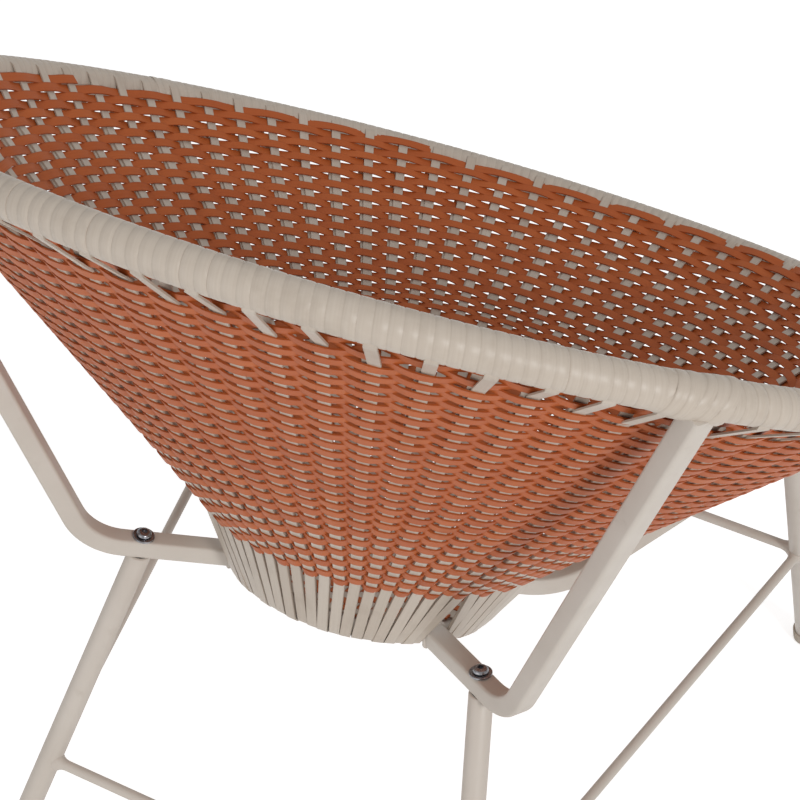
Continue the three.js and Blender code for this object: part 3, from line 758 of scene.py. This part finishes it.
# Thicker wrapping over an arm's end. Degrees are where the arms meet the hoop. The bands start
# flush with the spiral, rise to the last one and swell most on the side of the arm.
BACK_HOOP_TURN, FRONT_HOOP_TURN = 44.4, -32.9
JOINT_TURNS = {"back_left": BACK_HOOP_TURN, "back_right": 180 - BACK_HOOP_TURN,
               "front_right": 180 - FRONT_HOOP_TURN, "front_left": 360 + FRONT_HOOP_TURN}
JOINT_BANDS, JOINT_HALF, JOINT_SHIFT = 6, 21 / HOOP_RADIUS, 8 / HOOP_RADIUS
JOINT_LOW, BACK_JOINT_HIGH, FRONT_JOINT_HIGH = 11.4, 13.0, 12.0
JOINT_TUCK, JOINT_CROWN = 1.6, 1.6
JOINT_TILT, TILT_WANDER, SWELL_LOW, SWELL_HIGH = 0.012, 0.006, -0.12, 0.16
ARM_SWELL, SWELL_AHEAD, SWELL_BANDS = 1.5, 0.3, 2.4
SWELL_MEAN, SWELL_WAVE, SWELL_TURN = 0.5, 0.7, radians(47)


def joint_wrap(name, angle, seed):
    """Crowded bands that lean a little, with both ends tucked under the spiral."""
    chance = random.Random(seed)
    highest = BACK_JOINT_HIGH if name.startswith("back") else FRONT_JOINT_HIGH
    across = JOINT_BANDS * len(BAND)
    tilt = JOINT_TILT * (1 if seed % 2 else -1)
    swell = [chance.uniform(SWELL_LOW, SWELL_HIGH) for _ in range(JOINT_BANDS + 1)]
    lean = [tilt + chance.uniform(-TILT_WANDER, TILT_WANDER) for _ in range(JOINT_BANDS + 1)]
    bm = bmesh.new()

    def band_at(column):
        return divmod(min(max(column - 1, 0), across), len(BAND))

    def place(column, row):
        band, part = band_at(column)
        section_turn = -2 * pi * row / ROUND_STEPS
        if column in (0, across + 2):
            radius = WRAP_RADIUS - JOINT_TUCK
        else:
            radius = mix(JOINT_LOW, highest, band / JOINT_BANDS)
            radius += BAND_CROWN[part] * JOINT_CROWN + swell[band]
            arm_side = smooth(SWELL_MEAN + SWELL_WAVE * cos(section_turn + SWELL_TURN))
            radius += ARM_SWELL * smooth((band + SWELL_AHEAD) / SWELL_BANDS) * arm_side
        share = (band + BAND[part]) / JOINT_BANDS
        spot = mix(-JOINT_HALF, JOINT_HALF, share) + lean[band] * sin(section_turn)
        return round_hoop(angle - JOINT_SHIFT + spot, radius, section_turn)

    def mark(column, row):
        return band_mark(*band_at(column), row, JOINT_TURN_LENGTH, JOINT_NUMBERS + seed)
    bent_grid(bm, across + 2, ROUND_STEPS, place, mark)
    close_and_turn_out(bm)
    make_piece(f"joint_wrapping_{name}", bm, BEIGE, "strap_beige", [f"joint_wrap_{name}"], sharp=60)


# Arms. A bar runs out of the ring, bends at its reach, and rises to a point just under the hoop's
# tube. A back arm's bolt sits on the bar, a front arm's on the riser.
Arm = namedtuple("Arm", "frames start seat bolt_up bar_way")
BACK_BAR_REACH, BACK_BEND_RADIUS, BACK_BOLT_INSET = 203.6, 45, 39
FRONT_BAR_REACH, FRONT_BEND_RADIUS, FRONT_BOLT_SHARE = 151.6, 60, 0.631
ARM_TOP_OUT, ARM_TOP_RISE, ARM_TOP_CUT = 4.8, -5.2, 2
BEND_STEPS = 16


def arm_line(name):
    across, back = CORNERS[name]
    reach, bend = (BACK_BAR_REACH, BACK_BEND_RADIUS) if back else (FRONT_BAR_REACH, FRONT_BEND_RADIUS)
    bar_angle = ARM_ANGLE if back else -ARM_ANGLE
    hoop_angle = radians(BACK_HOOP_TURN if back else FRONT_HOOP_TURN)

    def mirrored(point):
        return Vector((across * point.x, point.y, point.z))
    corner = mirrored(on_ring(bar_angle, reach, 0))
    top = mirrored(on_hoop(hoop_angle, HOOP_RADIUS + ARM_TOP_OUT, ARM_TOP_RISE))
    start = mirrored(on_ring(bar_angle, RING_RADIUS + RING_ROD_RADIUS + GAP, 0))
    bar_way, riser_way = (corner - start).normalized(), (top - corner).normalized()
    side = bar_way.cross(riser_way).normalized()
    bar_up = side.cross(bar_way)
    turn = bar_way.angle(riser_way)
    bend_start = corner - bar_way * bend * tan(turn / 2)
    hub = bend_start + bar_up * bend
    frames = [(start, side, bar_up, 1)]
    for i in range(BEND_STEPS + 1):
        angle = turn * i / BEND_STEPS
        up = bar_up * cos(angle) - bar_way * sin(angle)
        frames.append((hub - up * bend, side, up, 1))
    riser_up = frames[-1][2]
    frames.append((top - riser_way * ARM_TOP_CUT, side, riser_up, 1))
    if back:
        seat, bolt_up = mirrored(on_ring(bar_angle, reach - BACK_BOLT_INSET, 0)), bar_up
    else:
        seat, bolt_up = mix(corner, top, FRONT_BOLT_SHARE), riser_up
    return Arm(frames, start, seat, bolt_up, bar_way)


def arm_piece(name, arm):
    bm = bmesh.new()
    tube(bm, arm.frames, square_section(ARM_SIZE, ARM_CORNER))
    paint_piece(f"square_arm_{name}", bm, [f"arm_{name}"])


# Legs run from under the bolts through the points where the rods meet them, which are given as
# places to the side and towards the back of the ring's centre. The feet stand where they end.
Leg = namedtuple("Leg", "under joint way foot")
BACK_JOINT, FRONT_JOINT = (171.2, 179.9), (255.7, -275.9)
JOINT_HEIGHT = 200.5
LEG_SIDES, LEG_EDGE, EDGE_STEPS = 36, 0.7, 2


def leg_line(name, arm):
    across, back = CORNERS[name]
    under = arm.seat - arm.bolt_up * (ARM_SIZE / 2 + GAP)
    side, depth = BACK_JOINT if back else FRONT_JOINT
    joint = Vector((across * side, depth + RING_CENTRE.y, JOINT_HEIGHT))
    way = (joint - under).normalized()
    return Leg(under, joint, way, joint - way * (joint.z / way.z))


def square_to(way):
    """Two directions that are square to way and to each other."""
    side = way.cross(X_AXIS if abs(way.z) > abs(way.x) else Z_AXIS).normalized()
    return side, way.cross(side)


def leg_piece(name, leg, arm):
    """The top is cut flat against the arm and the lower end level inside the foot."""
    bm = bmesh.new()
    side, up = square_to(leg.way)
    end = leg.joint + leg.way * ((SOLE + GAP - leg.joint.z) / leg.way.z)
    places = (leg.under, leg.joint, end)
    section = round_section(LEG_RADIUS, LEG_SIDES)

    def place(around, along):
        out, rise = section[around % LEG_SIDES]
        point = places[along] + side * out + up * rise
        if along == 0:
            return point + leg.way * ((leg.under - point).dot(arm.bolt_up) / leg.way.dot(arm.bolt_up))
        if along == 2:
            return point + leg.way * ((end - point).z / leg.way.z)
        return point
    bent_grid(bm, LEG_SIDES, len(places) - 1, place)
    close_and_turn_out(bm)
    caps = [face for face in bm.faces if len(face.verts) > 4]
    bmesh.ops.bevel(bm, geom=list({edge for face in caps for edge in face.edges}), offset=LEG_EDGE,
                    segments=EDGE_STEPS, profile=0.5, affect="EDGES", material=-1)
    paint_piece(f"leg_tube_{name}", bm, [f"leg_{name}"])


# Outline of a foot as (radius, height): up the inside of its cup, over the lip, down to the sole
FOOT_SIDES, FOOT_TOP, FOOT_RADIUS, FOOT_AXIS, FOOT_MERGE = 40, 21, 10.6, 0.02, 0.05
FOOT_OUTLINE = ((FOOT_AXIS, SOLE), (LEG_RADIUS + GAP, SOLE), (LEG_RADIUS + GAP, FOOT_TOP),
                (FOOT_RADIUS - 0.7, FOOT_TOP), (FOOT_RADIUS, FOOT_TOP - 0.9), (FOOT_RADIUS, SOLE),
                (FOOT_RADIUS, 1.2), (FOOT_RADIUS - 0.5, 0.3), (FOOT_RADIUS - 1.5, 0), (5, 0),
                (FOOT_AXIS, 0))


def foot_piece(name, leg):
    """Slip-on foot: a sleeve with a rolled lip over the leg's end and a level, rounded sole."""
    bm = bmesh.new()
    side, up = square_to(leg.way)
    slant = abs(1 / leg.way.z)

    def place(around, along):
        radius, rise = FOOT_OUTLINE[along]
        angle = 2 * pi * around / FOOT_SIDES
        point = leg.foot + (side * cos(angle) + up * sin(angle)) * radius
        if rise > SOLE:
            return point - leg.way * rise * slant
        return point + leg.way * ((rise - point.z) / leg.way.z)
    bent_grid(bm, FOOT_SIDES, len(FOOT_OUTLINE) - 1, place)
    close_and_turn_out(bm, ends=False, merge=FOOT_MERGE)
    make_piece(f"foot_cap_{name}", bm, NYLON, "foot_plastic", [f"foot_{name}"], sharp=50)


# A rod swells into its weld at each end: (past the leg's radius, share of the rod's radius)
ROD_FLARE = ((-3, 1.75), (0.4, 1.62), (1.6, 1.36), (3.6, 1.14), (6.5, 1))
ROD_RADIUS, ROD_SIDES = 4, 24
RODS = {"back": ("back_left", "back_right"), "front": ("front_left", "front_right"),
        "left": ("back_left", "front_left"), "right": ("back_right", "front_right")}


def rod_piece(name, first, second):
    way = (second.joint - first.joint).normalized()
    side, up = square_to(way)
    span = (second.joint - first.joint).length
    near = [(LEG_RADIUS + past, scale) for past, scale in ROD_FLARE]
    stops = near + [(span - off, scale) for off, scale in reversed(near)]
    bm = bmesh.new()
    tube(bm, [(first.joint + way * off, side, up, scale) for off, scale in stops],
         round_section(ROD_RADIUS, ROD_SIDES))
    paint_piece(f"tie_rod_{name}", bm, [f"stretcher_{name}"])


# Bolts and washers. HEAD_OUTLINE is (radius, height over the head's seat).
BOLT_SIDES, SHANK_RADIUS, TIP_RADIUS, TIP_HEIGHT = 42, 3, 2.4, 0.8
HEAD_SEAT, HEAD_HEIGHT = 1.6, 3.3
HEAD_OUTLINE = ((SHANK_RADIUS, 0), (5.2, 0), (5.5, 0.3), (5.5, 0.8), (5.2, 1.7), (4.6, 2.5), (3.8, 3),
                (2.75, HEAD_HEIGHT), (0, HEAD_HEIGHT))
BACK_BOLT_REACH, FRONT_BOLT_REACH = 12, 8
SOCKET_LEDGE, SOCKET_FLAT, SOCKET_DEPTH = 0.5, 2.05, 1.9
TOP_TOLERANCE = 0.01
WASHER_SIDES, WASHER_THICK = 44, 1.7
WASHER_HOLE, WASHER_RADIUS = 3.4, 8


def turned(bm, profile, at, way, sides):
    """Spins a profile of (radius, height) round way; profile ends on the axis at both ends."""
    side = square_to(way)[0]
    verts = [bm.verts.new(at + side * radius + way * height) for radius, height in profile]
    edges = [bm.edges.new(pair) for pair in zip(verts, verts[1:])]
    bmesh.ops.spin(bm, geom=verts + edges, cent=at, axis=way, angle=2 * pi, steps=sides, use_merge=True)
    close_and_turn_out(bm, ends=False)


def bolt_piece(name, arm):
    """Domed head with a hexagon socket on a plain shank."""
    bm = bmesh.new()
    low = ARM_SIZE / 2 + HEAD_SEAT + 2 * GAP
    reach = ARM_SIZE / 2 + (BACK_BOLT_REACH if CORNERS[name][1] else FRONT_BOLT_REACH)
    tip = [(0, -reach), (TIP_RADIUS, -reach), (SHANK_RADIUS, -reach + TIP_HEIGHT)]
    head = [(radius, low + height) for radius, height in HEAD_OUTLINE]
    turned(bm, tip + head, arm.seat, arm.bolt_up, BOLT_SIDES)
    top = arm.seat + arm.bolt_up * (low + HEAD_HEIGHT)

    def on_top(face):
        return face.calc_center_median().dot(arm.bolt_up) > top.dot(arm.bolt_up) - TOP_TOLERANCE
    bmesh.ops.dissolve_faces(bm, faces=[face for face in bm.faces if on_top(face)])
    cap = [face for face in bm.faces if len(face.verts) > 4 and on_top(face)]
    bmesh.ops.inset_region(bm, faces=cap, thickness=SOCKET_LEDGE, depth=0)
    side, up = square_to(arm.bolt_up)
    for face in cap:
        for vert in face.verts:
            off = vert.co - top
            angle = atan2(off.dot(up), off.dot(side))
            radius = SOCKET_FLAT / cos((angle + pi / 6) % (pi / 3) - pi / 6)
            vert.co = top + (side * cos(angle) + up * sin(angle)) * radius
    sunk = bmesh.ops.extrude_face_region(bm, geom=cap)["geom"]
    moved = [part for part in sunk if isinstance(part, bmesh.types.BMVert)]
    bmesh.ops.delete(bm, geom=cap, context="FACES_ONLY")
    bmesh.ops.translate(bm, vec=arm.bolt_up * -SOCKET_DEPTH, verts=moved)
    bmesh.ops.recalc_face_normals(bm, faces=bm.faces)
    make_piece(f"bolt_{name}_domed", bm, STEEL, "fastener_steel", [f"bolt_{name}"], sharp=35)


def washer_piece(name, arm):
    bm = bmesh.new()
    low = ARM_SIZE / 2 + GAP * 0.5
    high = low + WASHER_THICK
    side, up = square_to(arm.bolt_up)
    outline = ((WASHER_HOLE, low), (WASHER_RADIUS - 0.3, low), (WASHER_RADIUS, low + 0.3),
               (WASHER_RADIUS, high - 0.35), (WASHER_RADIUS - 0.4, high), (WASHER_HOLE, high),
               (WASHER_HOLE, low))

    def place(around, along):
        radius, rise = outline[along]
        angle = 2 * pi * around / WASHER_SIDES
        return arm.seat + (side * cos(angle) + up * sin(angle)) * radius + arm.bolt_up * rise
    bent_grid(bm, WASHER_SIDES, len(outline) - 1, place)
    close_and_turn_out(bm, ends=False)
    make_piece(f"washer_{name}_flat", bm, STEEL, "fastener_steel", [f"washer_{name}"], sharp=40)


# The ring, and the rippled welds where the bars meet it
RING_SIDES, RING_STEPS = 20, 120
BEAD_SIDES, BEAD_STEPS, BEAD_BACK = 10, 56, 0.2
BEAD_RADIUS, RIPPLE, RIPPLE_TURN = 1.7, 0.25, 2.4


def ring_rod():
    bm = bmesh.new()

    def place(around, along):
        return round_ring(2 * pi * along / RING_STEPS, RING_ROD_RADIUS, 2 * pi * around / RING_SIDES)
    bent_grid(bm, RING_SIDES, RING_STEPS, place)
    close_and_turn_out(bm, ends=False)
    paint_piece("base_ring_rod", bm, ["base_ring"], sharp=38)


def weld_bead(bm, arm):
    section = square_section(ARM_SIZE, ARM_CORNER)
    at = arm.start - arm.bar_way * BEAD_BACK
    side, up = arm.frames[0][1:3]

    def place(around, along):
        spot = len(section) * along / BEAD_STEPS
        low, share = int(spot) % len(section), spot - int(spot)
        here, after = section[low], section[(low + 1) % len(section)]
        out, rise = mix(here[0], after[0], share), mix(here[1], after[1], share)
        section_turn = 2 * pi * around / BEAD_SIDES
        fat = BEAD_RADIUS + RIPPLE * sin(along * RIPPLE_TURN)
        grow = 1 + fat * cos(section_turn) / hypot(out, rise)
        return at + side * out * grow + up * rise * grow + arm.bar_way * fat * sin(section_turn)
    bent_grid(bm, BEAD_SIDES, BEAD_STEPS, place)


def weld_beads(arms):
    bm = bmesh.new()
    for arm in arms.values():
        weld_bead(bm, arm)
    close_and_turn_out(bm, ends=False)
    paint_piece("bar_welds", bm, [], sharp=38)


# The chair
arms = {name: arm_line(name) for name in CORNERS}
legs = {name: leg_line(name, arms[name]) for name in CORNERS}
for name in CORNERS:
    arm_piece(name, arms[name])
    leg_piece(name, legs[name], arms[name])
    foot_piece(name, legs[name])
    bolt_piece(name, arms[name])
    washer_piece(name, arms[name])
for name, (first, second) in RODS.items():
    rod_piece(name, legs[first], legs[second])
ring_rod()
weld_beads(arms)
hoop_wrap()
for seed, (name, turn) in enumerate(JOINT_TURNS.items()):
    joint_wrap(name, radians(turn), seed)
orange_rows()
beige_uprights()
skirt()
seat_bottom()

# CAD nodes that stay: they are hidden, and only get their materials
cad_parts["hoop"].data.materials.clear()
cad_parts["hoop"].data.materials.append(PAINT)
for name in CORNERS:
    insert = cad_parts[f"insert_{name}"]
    insert.data.materials.clear()
    insert.data.materials.append(STEEL)


# Floor and light, in metres. A lamp has a name, a place, a size and a power in watts.
WHITE = (1, 1, 1, 1)
FLOOR_RADIUS, FLOOR_SIDES, FLOOR_GLOW = 14, 96, 0.62
ROOM_LIGHT, BACKDROP_LIGHT = 0.5, 1
LAMPS = (("key", (-2.16, 1.47, 1.95), 0.55, 31), ("front", (0.9, 2.6, 1.0), 2.4, 13),
         ("top", (0.2, -0.4, 3.2), 2.4, 4))
LAMP_AIM = Vector((0, 0, 0.45))


def pale_floor():
    """White as the camera sees it, still darkened where the chair shades it."""
    finish = Finish("studio_floor")
    cloud = finish.noise(finish.object_place(), scale=3, detail=3)
    plain = finish.node("ShaderNodeBsdfDiffuse", None,
                        {"Color": finish.tint(cloud, srgb(226, 226, 226), srgb(231, 231, 231))})
    glow = finish.node("ShaderNodeEmission", None, {"Color": WHITE, "Strength": FLOOR_GLOW})
    both = finish.node("ShaderNodeAddShader", None, {0: plain, 1: glow})
    rays = finish.tree.nodes.new("ShaderNodeLightPath")
    straight, gloss, through = (Level(finish, rays.outputs[f"Is {kind} Ray"])
                                for kind in ("Camera", "Glossy", "Transmission"))
    seen = finish.node("ShaderNodeMath", {"operation": "MINIMUM"}, {0: straight + gloss + through, 1: 1.0})
    finish.end_with(finish.node("ShaderNodeMixShader", None, {0: seen, 1: plain, 2: both}))
    return finish.material


def studio_floor():
    bm = bmesh.new()
    bmesh.ops.create_circle(bm, cap_ends=True, segments=FLOOR_SIDES, radius=FLOOR_RADIUS)
    mesh = bpy.data.meshes.new("studio_floor")
    bm.to_mesh(mesh)
    bm.free()
    mesh.materials.append(pale_floor())
    floor_disc = bpy.data.objects.new("studio_floor", mesh)
    scene.collection.objects.link(floor_disc)


def studio_light():
    """The room lights the chair, and the camera sees a brighter, white backdrop."""
    world = bpy.data.worlds.new("studio")
    scene.world = world
    world.use_nodes = True
    tree = world.node_tree
    tree.nodes.clear()
    rays = tree.nodes.new("ShaderNodeLightPath")
    choose, end = tree.nodes.new("ShaderNodeMixShader"), tree.nodes.new("ShaderNodeOutputWorld")
    tree.links.new(rays.outputs["Is Camera Ray"], choose.inputs[0])
    for socket, strength in ((1, ROOM_LIGHT), (2, BACKDROP_LIGHT)):
        light = tree.nodes.new("ShaderNodeBackground")
        light.inputs["Color"].default_value, light.inputs["Strength"].default_value = WHITE, strength
        tree.links.new(light.outputs[0], choose.inputs[socket])
    tree.links.new(choose.outputs[0], end.inputs[0])
    for name, place, size, power in LAMPS:
        lamp = bpy.data.lights.new(name, "AREA")
        lamp.shape, lamp.size, lamp.energy = "DISK", size, power
        stand = bpy.data.objects.new(name, lamp)
        stand.location = place
        stand.rotation_euler = (LAMP_AIM - Vector(place)).to_track_quat("-Z", "Y").to_euler()
        scene.collection.objects.link(stand)


# The camera was matched to the photograph: place in millimetres, and three directions of its view
CAMERA_PLACE = Vector((-471.80049, 922.06171, 1455.45186))
CAMERA_RIGHT = Vector((-0.88856812, -0.45871036, 0.00561297))
CAMERA_UP = Vector((0.32281675, -0.61654156, 0.71809878))
CAMERA_LOOK = Vector((0.32593872, -0.63989164, -0.69591856))
SENSOR_WIDTH, PHOTO_PIXELS, FOCAL_PIXELS = 36, 800, 2048.492
CLIP_NEAR, CLIP_FAR = 0.05, 60


def photograph_camera():
    lens = bpy.data.cameras.new("camera")
    lens.sensor_width = SENSOR_WIDTH
    lens.lens = FOCAL_PIXELS / PHOTO_PIXELS * SENSOR_WIDTH
    lens.clip_start, lens.clip_end = CLIP_NEAR, CLIP_FAR
    camera = bpy.data.objects.new("camera", lens)
    turn = Matrix((CAMERA_RIGHT, CAMERA_UP, -CAMERA_LOOK)).transposed().to_4x4()
    camera.matrix_world = Matrix.Translation(CAMERA_PLACE * MM) @ turn
    scene.collection.objects.link(camera)
    scene.camera = camera


studio_floor()
studio_light()
photograph_camera()
scene.view_settings.view_transform = "Standard"
